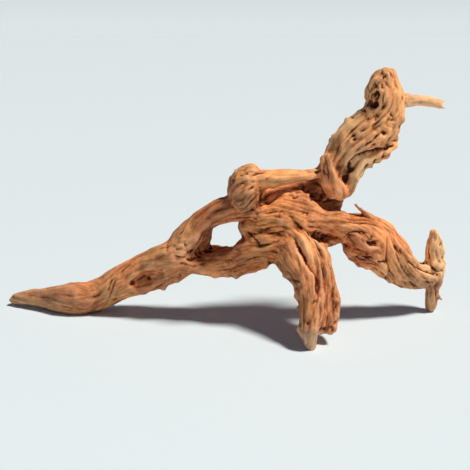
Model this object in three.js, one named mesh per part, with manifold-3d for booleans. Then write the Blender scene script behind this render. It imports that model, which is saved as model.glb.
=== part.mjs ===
// A dry, bare root: one piece of sun-bleached wood, as it was dug up, washed and left to dry.
// A long tapering limb lies on its heel, two legs come down on a front foot and a right foot,
// and a gnarled upper limb with a side twig rises over them. The limbs meet in a lumpy hub,
// and an arch and a lower bar part and meet again around a hole that a small fish can swim through.
//
// Every limb is an oval section carried along a smooth curve, with rounded ends. The limbs are
// joined into one solid, the hollows are cut out of it, and the feet are shaved level.
// Millimetres, +Z up. While it is drawn, x runs right from the long limb's tip, y runs back from
// the front foot's toe, and z runs up from the table. The last step centres it over its footprint.

import * as THREE from 'three';
import { mergeVertices } from 'three/addons/utils/BufferGeometryUtils.js';
import Module from 'manifold-3d';

const RING_STEP = 7.5; // distance between two section rings along a limb
const FLUTE_DEPTH = 0.06; // how far the wood's twisting swells stand out, as a share of the radius
const FLUTE_TURN = 0.022; // how fast the swells wind round the limb, radians per mm
const FLUTE_COUNT = 3; // swells seen around one section
const CAP_RINGS = 2; // rings that round off each end of a limb
const SHAVING_DEPTH = 20; // the block that shaves the feet level
const SHAVING_SPAN = 600;

// The limbs. Each station is [x, y, z, half width seen from the front, half depth front to back].
const limbs = {
  longLimb: {
    sides: 16,
    stations: [
      [4, 112, 5.5, 3.5, 4], [10, 111, 7, 5.5, 5], [22, 107, 9, 7, 6.5], [38, 102, 10.5, 9.5, 9],
      [53, 96, 12.5, 12.5, 12], [67, 93, 14, 14.5, 14], [81, 93, 14.5, 15, 14.5], [93, 95, 18, 15, 14.5],
      [109, 93, 27, 15.5, 15.5], [128, 90, 36, 17, 17], [147, 87, 46, 18.5, 18], [165, 83, 56, 18, 18],
    ],
  },
  arch: {
    sides: 16,
    stations: [
      [163, 83, 56, 14, 16], [169, 83, 69, 13.5, 16], [180, 82, 81, 12.5, 15], [192, 80, 92, 11.5, 14],
      [206, 76, 101, 11, 14], [222, 72, 104, 11, 15], [237, 70, 100, 11, 16],
    ],
  },
  holeWall: {
    sides: 12,
    stations: [[171, 86, 60, 12, 12], [179, 89, 67, 13, 11], [184, 89, 77, 12, 11]],
  },
  holeFloor: {
    sides: 10,
    stations: [[172, 90, 54, 9, 9], [190, 92, 54.5, 8.5, 9], [206, 90, 57, 9, 9]],
  },
  lowerBar: {
    sides: 16,
    stations: [
      [161, 83, 51, 15, 16], [176, 81, 51, 9.5, 14], [190, 79, 50, 9.5, 14], [204, 76, 52, 12, 15],
      [218, 72, 57, 14, 16], [232, 69, 66, 16.5, 17], [246, 68, 76, 19, 18],
    ],
  },
  burl: {
    sides: 16,
    stations: [[223, 72, 104, 12, 14], [223, 70, 114, 16, 18], [223, 71, 123, 16, 18], [226, 74, 130, 11, 13]],
  },
  crossbar: {
    sides: 12,
    stations: [
      [228, 71, 124, 9.5, 11], [240, 69, 129, 8, 10], [252, 70, 130, 7.5, 10], [264, 73, 131, 6, 9],
      [276, 77, 131, 4.5, 7], [289, 81, 133, 4.5, 6],
    ],
  },
  hub: {
    sides: 16,
    stations: [
      [226, 73, 86, 9.5, 13], [237, 72, 91, 13, 16], [249, 71, 96, 18, 19], [263, 71, 98, 20.5, 20], [277, 72, 96, 18, 20],
      [291, 74, 93, 12.5, 17], [305, 76, 90, 11, 15],
    ],
  },
  hubBack: {
    sides: 12,
    stations: [[233, 86, 106, 9, 9], [245, 90, 111, 11, 9], [261, 92, 114, 12, 9], [281, 92, 114, 13, 10]],
  },
  hubUnder: {
    sides: 12,
    stations: [[271, 82, 80, 11, 10], [287, 85, 80, 9, 9], [303, 83, 82, 9, 10]],
  },
  neck: {
    sides: 16,
    stations: [[287, 88, 96, 16, 14], [292, 90, 106, 17, 14], [297, 90, 120, 16.5, 15], [304, 87, 136, 16, 17]],
  },
  upperLimb: {
    sides: 16,
    stations: [
      [296, 85, 123, 11.5, 14], [302, 82, 139, 14.5, 17], [311, 82, 153, 17, 18], [322, 83, 163, 19, 18],
      [333, 84, 171, 18.5, 18], [339, 84, 181, 18, 17], [340, 84, 193, 16.5, 16], [340, 84, 204, 14, 14],
      [340, 84, 213, 7.5, 10],
    ],
  },
  overhang: {
    sides: 12,
    stations: [[294, 76, 144, 7, 9], [295, 72, 133, 7.5, 10], [298, 69, 120.5, 10.5, 11], [303, 70, 118.5, 8, 9]],
  },
  flap: {
    sides: 12,
    stations: [
      [309, 75, 116, 5, 8], [312, 75, 127, 7, 8], [320, 76, 140, 7, 8], [332, 79, 148, 7.5, 8],
      [342, 82, 153, 7.5, 8], [348, 84, 162, 5, 7],
    ],
  },
  crest: {
    sides: 12,
    stations: [
      [328, 86, 196, 4, 7], [329, 86, 204, 5, 7], [336, 85, 214, 6, 9], [342, 84, 214.5, 6.5, 9],
      [349, 84, 204, 5, 8],
    ],
  },
  sideTwig: {
    sides: 10,
    stations: [
      [350, 86, 193.5, 7.5, 8], [358, 88, 193.5, 6.6, 7], [367, 90, 193, 5.2, 5.5], [378, 92, 192, 4.6, 4.6],
      [389, 94, 190, 4.1, 4.2],
    ],
  },
  rightLeg: {
    sides: 16,
    stations: [
      [295, 74, 90, 10.5, 15], [310, 76, 85, 12.5, 16], [324, 79, 78, 17.5, 18], [337, 82, 69, 21, 19],
      [349, 84, 58, 20, 18], [363, 87, 44.5, 15.5, 16], [378, 91, 36, 12.5, 14], [392, 95, 36, 11, 11],
    ],
  },
  rightSag: {
    sides: 12,
    stations: [[317, 80, 67, 8, 12], [326, 81, 59, 10.5, 13], [338, 83, 53, 10.5, 13], [349, 84, 50, 10, 12]],
  },
  rightFoot: {
    sides: 12,
    stations: [
      [394, 98, 73, 5, 5.5], [395, 98, 64, 7, 7.5], [395, 97, 52, 8.5, 8.5], [396, 96, 42, 9.5, 9.5],
      [395, 96, 29, 7.5, 9], [395, 96, 18, 6.5, 7.5], [395, 96, 8, 5.5, 6], [394, 96, 2.5, 4.5, 5],
    ],
  },
  frontLeg: {
    sides: 16,
    stations: [
      [260, 68, 83, 19, 17], [265, 61, 71, 21.5, 18], [271, 52, 61, 20.5, 17], [275, 42, 52, 16, 16],
      [276, 33, 42, 14, 15], [278, 25, 33, 12.5, 15], [276, 17, 24, 10, 13], [274, 11, 16, 8.5, 11],
      [275, 10, 7, 6, 6.5], [276, 10, 2.5, 4.5, 5],
    ],
  },
  frontLegStrand: {
    sides: 12,
    stations: [
      [277, 67, 78, 10.5, 13], [285, 59, 66, 9.5, 13], [289, 51, 56, 8.5, 13], [290, 43, 45, 9, 13],
      [292, 36, 35, 9, 13], [292, 30, 26, 8.5, 12], [292, 25, 18, 7, 10], [292, 22, 13, 6, 7],
    ],
  },
  frontLegWeb: {
    sides: 10,
    stations: [[283, 32, 38, 7, 9], [284, 25, 27, 7, 8], [285, 21, 17, 6, 7], [285, 19, 12, 4.5, 5]],
  },
  ledge: {
    sides: 10,
    stations: [[283, 68, 76, 4.5, 7], [290, 70, 73, 4.5, 7], [300, 73, 75, 5, 9], [310, 76, 77, 6, 10]],
  },
};

// The hollows, cut out with the same kind of sweep. The swim hole widens towards the front left.
const hollows = {
  swimHole: {
    sides: 16,
    facing: [-0.35, 0, 1],
    stations: [
      [194, 40, 78, 24, 17], [199, 58, 78, 19.5, 14.5], [204, 78, 75, 14, 12], [206, 98, 73, 12.5, 11.5],
      [208, 116, 73, 14, 13],
    ],
  },
  elbowHollow: {
    sides: 12,
    stations: [[126, 70, 33, 9, 6], [135, 68, 38.5, 12, 8.5], [147, 67, 43.5, 9.5, 6.5]],
  },
  underOverhang: {
    sides: 10,
    stations: [[283, 70, 112, 7, 6], [293, 66, 107, 5, 6], [307, 60, 108, 3.5, 6]],
  },
  crownPocket: {
    sides: 10,
    stations: [[324, 68, 204, 5, 4.5], [330, 73, 198, 5.5, 5], [329, 73, 191, 4.5, 4.5]],
  },
};

// The frame of the section at one place on a curve: along it, across it in the front view, and its depth.
function sectionFrame(curve, share, facing) {
  const along = curve.getTangent(share).normalize();
  const depth = new THREE.Vector3(...facing);
  depth.addScaledVector(along, -depth.dot(along)).normalize();
  const across = new THREE.Vector3().crossVectors(depth, along);
  return { along, depth, across };
}

// A closed limb: rings of an oval, gently fluted section along the stations' curve, rounded at both ends.
function limbGeometry({ sides, stations, facing = [0, 1, 0] }) {
  const route = new THREE.CatmullRomCurve3(stations.map(([x, y, z]) => new THREE.Vector3(x, y, z)));
  const girth = new THREE.CatmullRomCurve3(stations.map(([, , , w, d]) => new THREE.Vector3(w, d, 0)));
  const length = route.getLength();
  const steps = Math.max(2, Math.round(length / RING_STEP));
  const positions = [];
  const ringStarts = [];

  function addRing(share, shift, scale) {
    const centre = route.getPoint(share);
    const { along, depth, across } = sectionFrame(route, share, facing);
    const { x: halfWidth, y: halfDepth } = girth.getPoint(share);
    centre.addScaledVector(along, shift * Math.min(halfWidth, halfDepth));
    ringStarts.push(positions.length / 3);
    for (let side = 0; side < sides; side += 1) {
      const angle = (2 * Math.PI * side) / sides;
      const swell = 1 + FLUTE_DEPTH * Math.cos(FLUTE_COUNT * (angle - FLUTE_TURN * length * share));
      const point = centre.clone();
      point.addScaledVector(across, scale * swell * halfWidth * Math.cos(angle));
      point.addScaledVector(depth, scale * swell * halfDepth * Math.sin(angle));
      positions.push(point.x, point.y, point.z);
    }
  }

  for (let ring = 1; ring <= CAP_RINGS; ring += 1) {
    const turn = (Math.PI / 2) * (1 - ring / (CAP_RINGS + 1));
    addRing(0, -Math.sin(turn), Math.cos(turn));
  }
  for (let step = 0; step <= steps; step += 1) {
    addRing(step / steps, 0, 1);
  }
  for (let ring = CAP_RINGS; ring >= 1; ring -= 1) {
    const turn = (Math.PI / 2) * (1 - ring / (CAP_RINGS + 1));
    addRing(1, Math.sin(turn), Math.cos(turn));
  }

  const poles = [0, 1].map((share) => {
    const pole = route.getPoint(share);
    const { x: halfWidth, y: halfDepth } = girth.getPoint(share);
    const reach = Math.min(halfWidth, halfDepth) * (share === 0 ? -1 : 1);
    pole.addScaledVector(sectionFrame(route, share, facing).along, reach);
    positions.push(pole.x, pole.y, pole.z);
    return positions.length / 3 - 1;
  });

  const faces = [];
  const lastRing = ringStarts[ringStarts.length - 1];
  for (let side = 0; side < sides; side += 1) {
    const next = (side + 1) % sides;
    for (const start of ringStarts.slice(0, -1)) {
      faces.push(start + side, start + next, start + sides + next);
      faces.push(start + side, start + sides + next, start + sides + side);
    }
    faces.push(poles[0], next, side);
    faces.push(poles[1], lastRing + side, lastRing + next);
  }

  const geometry = new THREE.BufferGeometry();
  geometry.setAttribute('position', new THREE.Float32BufferAttribute(positions, 3));
  geometry.setIndex(faces);
  return geometry;
}

const wasm = await Module();
wasm.setup();

// A closed three.js geometry as a solid that can be joined and cut.
function solidFrom(geometry) {
  const bare = geometry.clone();
  bare.deleteAttribute('normal');
  bare.deleteAttribute('uv');
  const merged = mergeVertices(bare);
  return new wasm.Manifold(new wasm.Mesh({
    numProp: 3,
    vertProperties: new Float32Array(merged.attributes.position.array),
    triVerts: new Uint32Array(merged.index.array),
  }));
}

// A solid back as a three.js geometry.
function geometryFrom(solid) {
  const { vertProperties, triVerts } = solid.getMesh();
  const geometry = new THREE.BufferGeometry();
  geometry.setAttribute('position', new THREE.Float32BufferAttribute(vertProperties, 3));
  geometry.setIndex(Array.from(triVerts));
  return geometry;
}

// The wood: every limb joined, every hollow cut, and the feet shaved level with the table.
function rootGeometry() {
  let wood = Object.values(limbs)
    .map((limb) => solidFrom(limbGeometry(limb)))
    .reduce((whole, limb) => whole.add(limb));
  for (const hollow of Object.values(hollows)) {
    wood = wood.subtract(solidFrom(limbGeometry(hollow)));
  }
  const shaving = new THREE.BoxGeometry(2 * SHAVING_SPAN, 2 * SHAVING_SPAN, SHAVING_DEPTH);
  shaving.translate(0, 0, -SHAVING_DEPTH / 2);
  wood = wood.subtract(solidFrom(shaving));

  const geometry = geometryFrom(wood);
  geometry.computeBoundingBox();
  const centre = geometry.boundingBox.getCenter(new THREE.Vector3());
  geometry.translate(-centre.x, -centre.y, -geometry.boundingBox.min.z);
  geometry.computeVertexNormals();
  return geometry;
}

const dryWood = new THREE.MeshStandardMaterial({ color: 0xb57446, roughness: 0.85, metalness: 0 });

const dryRoot = new THREE.Mesh(rootGeometry(), dryWood);
dryRoot.name = 'dry_root';

const root = new THREE.Group();
root.add(dryRoot);

export default root;
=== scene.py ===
"""A dry, bare root on a pale floor: weathered wood with twisting grain, cracks, pits and splinters."""

import math

import bpy
import numpy as np
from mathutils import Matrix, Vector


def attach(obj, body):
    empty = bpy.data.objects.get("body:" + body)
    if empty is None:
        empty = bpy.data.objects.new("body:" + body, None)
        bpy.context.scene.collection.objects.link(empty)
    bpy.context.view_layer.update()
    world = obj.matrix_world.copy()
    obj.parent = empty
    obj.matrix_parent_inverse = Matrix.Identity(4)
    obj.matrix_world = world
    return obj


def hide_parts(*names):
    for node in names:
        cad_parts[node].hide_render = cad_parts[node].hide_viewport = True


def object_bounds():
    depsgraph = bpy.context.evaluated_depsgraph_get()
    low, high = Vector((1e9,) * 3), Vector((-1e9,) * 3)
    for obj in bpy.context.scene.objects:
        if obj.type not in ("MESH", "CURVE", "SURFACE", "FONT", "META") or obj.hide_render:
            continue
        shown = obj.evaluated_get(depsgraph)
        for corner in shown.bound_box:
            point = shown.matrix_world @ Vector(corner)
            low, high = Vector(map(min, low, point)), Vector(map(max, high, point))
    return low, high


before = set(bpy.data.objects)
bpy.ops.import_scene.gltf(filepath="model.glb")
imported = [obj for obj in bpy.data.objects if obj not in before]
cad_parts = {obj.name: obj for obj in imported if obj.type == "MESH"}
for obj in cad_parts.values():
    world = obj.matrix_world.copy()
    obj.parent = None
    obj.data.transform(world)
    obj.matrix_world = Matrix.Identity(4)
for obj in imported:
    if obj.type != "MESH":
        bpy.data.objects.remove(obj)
cad_low, cad_high = [list(corner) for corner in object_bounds()]

# ---------------------------------------------------------------------------------------------
# The floor and the light. The floor is a pale, smooth laminate sheet. One large lamp stands high on
# the right, and a pale surround, darker and bluer overhead, meets the floor without a line.

FLOOR_SPAN = 80.0
FLOOR_COLOUR = "#d5e5f2"
CAMERA_PLACE = (0.0109, -0.6205, 0.249)
CAMERA_TILT = math.radians(15.0)
CAMERA_LENS = 58.0
LAMP_DIRECTION = (0.47, -0.11, 0.87)
LAMP_WIDTH = math.radians(11)
LAMP_STRENGTH = 4.2
LAMP_COLOUR = "#fff4e4"

# Heights in the surround are the upward share of a direction. Its light falls from the horizon up to
# the ceiling's start, and its colour turns from the horizon's end on.
HORIZON_END = 0.05
CEILING_START = 0.22
HORIZON_COLOUR = "#eaf2f4"
CEILING_COLOUR = "#bcd2f6"
HORIZON_LIGHT = 0.88
CEILING_LIGHT = 0.10

# The sockets of a colour Mix node: its share, its two colours and its result.
MIX_SHARE = 0
MIX_FIRST = 6
MIX_SECOND = 7
MIX_RESULT = 2


def linear(hex_colour):
    """An sRGB hex colour as linear red, green, blue and an alpha of 1."""
    channels = [int(hex_colour[i:i + 2], 16) / 255 for i in (1, 3, 5)]
    return [c / 12.92 if c <= 0.04045 else ((c + 0.055) / 1.055) ** 2.4 for c in channels] + [1.0]


def add_node(tree, kind, settings=None, inputs=None, links=None):
    """Adds a shader node: its settings, its input values, and its links as {input: (node, output)}."""
    node = tree.nodes.new(kind)
    for name, value in (settings or {}).items():
        setattr(node, name, value)
    for name, value in (inputs or {}).items():
        node.inputs[name].default_value = value
    for name, (source, output) in (links or {}).items():
        tree.links.new(source.outputs[output], node.inputs[name])
    return node


def make_piece(name, points, faces, material):
    """A smooth-shaded mesh object at the origin, its place in its mesh."""
    mesh = bpy.data.meshes.new(name)
    mesh.from_pydata(points, [], faces)
    mesh.polygons.foreach_set("use_smooth", [True] * len(mesh.polygons))
    mesh.update()
    piece = bpy.data.objects.new(name, mesh)
    bpy.context.scene.collection.objects.link(piece)
    mesh.materials.append(material)
    return piece


# Melamine laminate sheet, pressed smooth: faintly cool, with a soft sheen and no pattern.
laminate = bpy.data.materials.new("pale_laminate")
laminate.use_nodes = True
laminate.node_tree.nodes.clear()
sheen = add_node(laminate.node_tree, "ShaderNodeBsdfPrincipled",
                 inputs={"Base Color": linear(FLOOR_COLOUR), "Roughness": 0.6})
add_node(laminate.node_tree, "ShaderNodeOutputMaterial", links={"Surface": (sheen, "BSDF")})
half = FLOOR_SPAN / 2
floor = make_piece("floor", [(-half, -half, 0), (half, -half, 0), (half, half, 0), (-half, half, 0)],
                   [(0, 1, 2, 3)], laminate)

surround = bpy.data.worlds.new("surround")
surround.use_nodes = True
tree = surround.node_tree
tree.nodes.clear()
direction = add_node(tree, "ShaderNodeTexCoord")
upward = add_node(tree, "ShaderNodeSeparateXYZ", links={"Vector": (direction, "Generated")})
blueness = add_node(tree, "ShaderNodeMapRange",
                    inputs={"From Min": HORIZON_END, "From Max": CEILING_START},
                    links={"Value": (upward, "Z")})
glow_colour = add_node(tree, "ShaderNodeMix", {"data_type": "RGBA"},
                       {MIX_FIRST: linear(HORIZON_COLOUR), MIX_SECOND: linear(CEILING_COLOUR)},
                       {MIX_SHARE: (blueness, "Result")})
glow_strength = add_node(tree, "ShaderNodeMapRange", {"interpolation_type": "SMOOTHSTEP"},
                         {"From Min": 0.0, "From Max": CEILING_START,
                          "To Min": HORIZON_LIGHT, "To Max": CEILING_LIGHT},
                         {"Value": (upward, "Z")})
glow = add_node(tree, "ShaderNodeBackground",
                links={"Color": (glow_colour, MIX_RESULT), "Strength": (glow_strength, "Result")})
add_node(tree, "ShaderNodeOutputWorld", links={"Surface": (glow, "Background")})
bpy.context.scene.world = surround
bpy.context.scene.view_settings.view_transform = "Standard"

lamp_data = bpy.data.lights.new("soft_lamp", "SUN")
lamp_data.angle = LAMP_WIDTH
lamp_data.energy = LAMP_STRENGTH
lamp_data.color = linear(LAMP_COLOUR)[:3]
lamp = bpy.data.objects.new("soft_lamp", lamp_data)
lamp.location = LAMP_DIRECTION
lamp.rotation_euler = (math.atan2(math.hypot(*LAMP_DIRECTION[:2]), LAMP_DIRECTION[2]), 0,
                       math.atan2(LAMP_DIRECTION[0], -LAMP_DIRECTION[1]))
bpy.context.scene.collection.objects.link(lamp)

camera_data = bpy.data.cameras.new("camera")
camera_data.lens = CAMERA_LENS
camera = bpy.data.objects.new("camera", camera_data)
camera.location = CAMERA_PLACE
camera.rotation_euler = (math.pi / 2 - CAMERA_TILT, 0, 0)
bpy.context.scene.collection.objects.link(camera)
bpy.context.scene.camera = camera

# ---------------------------------------------------------------------------------------------
# The long limb. The thickest stretch of the root, bare wood worn smooth, which lies on its heel.
# It tapers to a round tip, and an oval hollow with a raised rim is rotted into its elbow.
# Every place on the root is in millimetres from the low corner of its box: right, back, up.

MM = 0.001

# The wood's own colours, from its palest worn ridges to the red inside its splits.
STRAW = "#fcc890"
CREAM = "#e8b484"
PEACH = "#f8ac78"
HONEY = "#f0a468"
AMBER = "#e89058"
COPPER = "#da8648"
TAN = "#c88856"
ASH = "#c09478"
CLAY = "#b47c56"
CHESTNUT = "#b87046"
RUST = "#b86434"
RUSSET = "#a86438"
BRICK = "#9c4c22"
UMBER = "#864a20"
EMBER = "#a03008"

# Each mark is its width and height in millimetres, its sharpness, its painted shade and its places.
marks = []
grain_lines = []
knots = []
slivers = []
crumbles = []
tints = []


def grain(*places):
    """The fibres run along this line of places."""
    grain_lines.append(places)


def groove(width, depth, *places):
    """A sharp crease along a line of places, or a pit at one place, with painted shade in it."""
    marks.append((width, -depth, 1.3, 1.0, places))


def hollow(width, depth, *places):
    """A round-bottomed hollow along a line of places, with a little painted shade in it."""
    marks.append((width, -depth, 2.6, 0.45, places))


def ridge(width, height, *places):
    """A round, worn ridge along a line of places, or a lump at one place, which lessens the painted shade
    round it.
    """
    marks.append((width, height, 2.0, -0.3, places))


def knot(radius, at):
    """The fibres swirl round this place, where a side root died."""
    knots.append((radius, at))


def sliver(radius, *places):
    """A torn splinter that narrows along a line of places."""
    slivers.append((radius, places))


def crumbly(reach, at):
    """Round this place the wood is soft, and has crumbled to pits and grains."""
    crumbles.append((reach, at))


def tint(reach, colour, furrow, at):
    """Round this place the wood has this colour, and this share of its full furrows."""
    tints.append((reach, colour, furrow, at))


grain((4, 111, 6), (38, 101, 11), (81, 92, 15), (109, 92, 27), (147, 86, 46), (163, 82, 58), (173, 82, 74),
      (192, 79, 92), (215, 73, 103), (240, 69, 100), (262, 69, 98), (283, 71, 95), (305, 75, 90),
      (330, 80, 77), (352, 84, 59), (375, 90, 40), (395, 95, 36))
# A check on the heel, a waist round the limb, and the folds that cross it before the elbow.
groove(1.2, 1.2, (67, 80, 11), (70, 79, 10), (73, 80, 8))
hollow(3.0, 1.0, (86, 86, 28), (89, 80, 23), (88, 79, 15), (86, 83, 6))
groove(1.3, 0.9, (103, 84, 38), (102, 80, 31), (99, 78, 23))
groove(1.6, 1.2, (109, 82, 40), (105, 78, 32), (102, 78, 21), (97, 81, 13))
ridge(2.6, 0.9, (106, 81, 41), (108, 78, 33), (105, 78, 24), (101, 80, 15))
groove(1.0, 0.7, (111, 79, 39), (113, 82, 44), (120, 82, 50))
# The elbow's oval hollow, with its rim and a pit in its middle.
hollow(6.0, 2.0, (125, 75, 33), (132, 75, 37), (143, 74, 43))
hollow(2.8, 1.8, (123, 75, 36), (123, 74, 31))
ridge(2.4, 1.4, (118, 74, 33), (120, 75, 39), (125, 76, 46), (132, 74, 52), (140, 72, 54))
ridge(2.3, 1.0, (122, 74, 26), (132, 78, 23), (143, 80, 26))
groove(1.2, 2.0, (136, 74, 38))
# Lumps and notches along the lower edge.
ridge(3.0, 3.2, (149, 80, 28))
groove(1.5, 1.4, (152, 79, 28), (156, 77, 32))
ridge(3.0, 3.2, (162, 74, 37))
groove(1.5, 1.3, (165, 70, 40), (166, 69, 45))
# Long, shallow checks in the grain.
groove(1.1, 0.8, (139, 72, 56), (146, 70, 59), (153, 68, 61), (159, 66, 61))
groove(1.2, 0.6, (96, 80, 28), (90, 79, 20), (82, 78, 17))
groove(1.2, 0.5, (56, 83, 20), (70, 79, 20), (82, 79, 22))
groove(1.2, 0.5, (24, 99, 12), (40, 90, 15), (55, 82, 15))
groove(1.6, 1.0, (138, 81, 27), (149, 73, 32), (160, 69, 42))
tint(16, CLAY, 0.3, (14, 105, 10))
tint(22, CLAY, 0.22, (45, 92, 14))
tint(20, CHESTNUT, 0.25, (72, 84, 20))
tint(14, TAN, 0.35, (98, 82, 30))
tint(12, AMBER, 0.35, (118, 80, 44))
tint(8, RUST, 0.15, (132, 74, 37))
tint(16, TAN, 0.3, (145, 78, 58))
tint(14, CHESTNUT, 0.35, (155, 72, 44))

# ---------------------------------------------------------------------------------------------
# The arch and the swim hole. Above the elbow the limb parts round a hole that leads through to the
# back. Its left shoulder bulges, with a torn, pale patch and a ragged crack under the bulge.

# The bulging left shoulder, with the crack and the pits under it.
hollow(2.6, 1.4, (175, 73, 90), (175, 67, 83), (169, 66, 76))
groove(1.8, 1.4, (155, 77, 70), (155, 68, 63))
groove(1.2, 1.3, (160, 66, 64), (164, 66, 61), (169, 66, 60), (175, 69, 56), (178, 72, 58))
groove(1.0, 0.9, (164, 65, 56), (169, 66, 55), (174, 66, 53))
groove(1.2, 1.4, (176, 65, 52), (180, 65, 53))
groove(1.1, 1.2, (183, 66, 54), (187, 67, 55))
ridge(2.2, 1.2, (164, 66, 71), (171, 66, 68), (177, 69, 69))
ridge(1.8, 0.9, (162, 66, 66), (170, 67, 64), (176, 72, 63))
# The left and lower rims of the swim hole, and the pits at its right end.
ridge(2.4, 1.4, (179, 75, 64), (178, 68, 73), (181, 66, 81), (186, 66, 86))
ridge(2.0, 1.0, (183, 77, 58), (190, 72, 58), (195, 74, 59), (202, 80, 61))
groove(1.1, 1.2, (219, 66, 81), (224, 63, 80))
groove(1.4, 1.2, (221, 62, 77))
# Grooves and a ridge along the arch.
groove(1.3, 1.5, (210, 63, 95), (220, 60, 97), (228, 57, 98))
groove(1.2, 0.9, (183, 67, 89), (194, 65, 99), (204, 62, 105))
groove(1.2, 0.9, (188, 70, 84), (196, 64, 92), (206, 62, 97))
groove(1.0, 0.7, (194, 71, 107), (202, 67, 110))
ridge(2.2, 0.9, (184, 68, 93), (194, 67, 102), (203, 64, 108))
knot(6, (168, 66, 82))
crumbly(8, (170, 66, 66))
tint(11, TAN, 0.3, (168, 68, 84))
tint(9, PEACH, 0.8, (170, 67, 67))
tint(9, BRICK, 0.6, (186, 76, 70))
tint(12, RUST, 0.4, (190, 68, 92))
tint(12, RUST, 0.4, (204, 64, 104))

# ---------------------------------------------------------------------------------------------
# The burl and the crossbar. A round knob of gnarled wood sits on the arch, and a thin straight root
# runs from it to the upper limb, where one torn fibre stands up.

grain((223, 70, 106), (226, 72, 126), (246, 69, 130), (276, 76, 131), (292, 80, 134), (304, 82, 144),
      (322, 82, 162), (337, 83, 176), (340, 83, 200), (341, 83, 218))
# Two short splinters on the burl, its folds, and the crease round its right side.
sliver(1.5, (214, 68, 128), (213, 68, 132), (214, 69, 137))
sliver(1.2, (217, 70, 131), (216, 70, 135), (218, 71, 139))
groove(1.3, 1.2, (220, 61, 135), (226, 58, 133), (231, 62, 134))
groove(1.6, 2.2, (227, 53, 123), (230, 55, 126))
groove(1.3, 1.0, (211, 57, 120), (218, 54, 127), (226, 54, 131), (233, 59, 130))
groove(1.2, 0.9, (213, 55, 114), (221, 51, 123), (231, 56, 125))
groove(1.2, 0.9, (218, 52, 109), (226, 52, 118), (236, 63, 121))
hollow(2.6, 2.4, (238, 67, 119), (237, 62, 112), (234, 56, 107), (229, 55, 103))
# Checks along the crossbar, with a pit near its far end.
groove(1.6, 1.5, (238, 58, 130), (244, 59, 133))
groove(1.0, 0.7, (236, 60, 134), (247, 59, 134), (260, 62, 134), (273, 68, 133))
groove(1.1, 0.8, (241, 58, 128), (251, 59, 128), (261, 62, 129), (273, 67, 131))
groove(1.2, 1.2, (283, 72, 133))
# Wrinkles where the burl meets the arch.
groove(0.9, 0.7, (230, 54, 103), (234, 54, 99))
groove(0.9, 0.7, (228, 56, 100), (233, 56, 96))
groove(0.9, 0.7, (226, 60, 95), (231, 56, 92))
# A torn fibre at the crossbar's end.
sliver(1.3, (276, 73, 134), (282, 73, 136), (288, 74, 136))
knot(7, (220, 52, 114))
crumbly(7, (214, 66, 128))
crumbly(6, (222, 62, 134))
crumbly(6, (228, 54, 104))
tint(9, CHESTNUT, 0.6, (215, 60, 120))
tint(9, TAN, 0.7, (224, 62, 134))
tint(8, UMBER, 0.6, (224, 52, 114))
tint(14, HONEY, 0.25, (254, 62, 132))
tint(8, HONEY, 0.5, (282, 72, 132))

# ---------------------------------------------------------------------------------------------
# The lower bar and the hub. The bar closes the swim hole from below. All limbs grow into the hub, a
# gnarled mass of folds, with a deep dark split under the neck that carries the upper limb.

grain((150, 84, 46), (176, 80, 51), (204, 75, 52), (232, 68, 66), (256, 64, 78), (270, 52, 62),
      (276, 38, 48), (278, 22, 30), (276, 11, 14), (277, 9, 2))
grain((268, 74, 98), (286, 86, 104), (296, 89, 118), (304, 86, 136), (312, 82, 152))
grain((233, 85, 105), (262, 91, 114), (290, 90, 112))
# Lumps along the bar's lower edge, with a pit among them.
ridge(3.6, 4.0, (214, 59, 47))
ridge(2.6, 1.8, (186, 64, 48))
ridge(2.8, 1.8, (196, 66, 44))
ridge(2.6, 2.0, (231, 56, 51))
ridge(2.6, 1.8, (240, 61, 52))
groove(1.2, 1.0, (214, 57, 50))
# The notch between the bar and the front leg, and the crease that runs from the swim hole.
groove(2.0, 2.4, (242, 54, 61), (244, 60, 55), (248, 57, 56))
groove(1.1, 1.2, (214, 60, 69), (218, 57, 69))
groove(1.8, 2.2, (224, 60, 85), (230, 54, 81), (235, 51, 75), (241, 50, 77), (251, 50, 79))
ridge(2.4, 1.2, (235, 51, 72), (243, 49, 75), (253, 48, 76))
# Long grooves along the bar.
groove(1.2, 0.9, (187, 65, 53), (200, 62, 56), (213, 57, 59), (224, 53, 64))
groove(1.2, 0.9, (196, 62, 48), (211, 57, 53), (225, 54, 58))
groove(1.2, 0.9, (202, 65, 61), (214, 58, 64), (226, 53, 71))
# The hollow under the crossbar, and the folds that run back from it to the neck.
hollow(3.0, 3.0, (241, 63, 109), (246, 65, 112), (251, 66, 115))
groove(1.4, 2.2, (260, 63, 116), (263, 60, 114), (267, 61, 116))
ridge(2.3, 1.6, (263, 64, 119))
groove(1.5, 1.8, (272, 84, 121), (273, 70, 117), (275, 64, 115))
groove(1.6, 1.8, (282, 84, 124), (286, 75, 121), (288, 75, 115), (291, 75, 111))
ridge(2.6, 1.4, (281, 74, 118))
# The deep, dark split under the neck, and the rolled lip below it.
groove(3.2, 6.0, (276, 60, 112), (283, 74, 111), (291, 75, 109), (301, 78, 107), (308, 86, 105))
ridge(2.6, 1.6, (268, 62, 116), (273, 60, 113), (278, 57, 108), (283, 57, 104), (290, 59, 101),
      (299, 64, 101))
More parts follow.
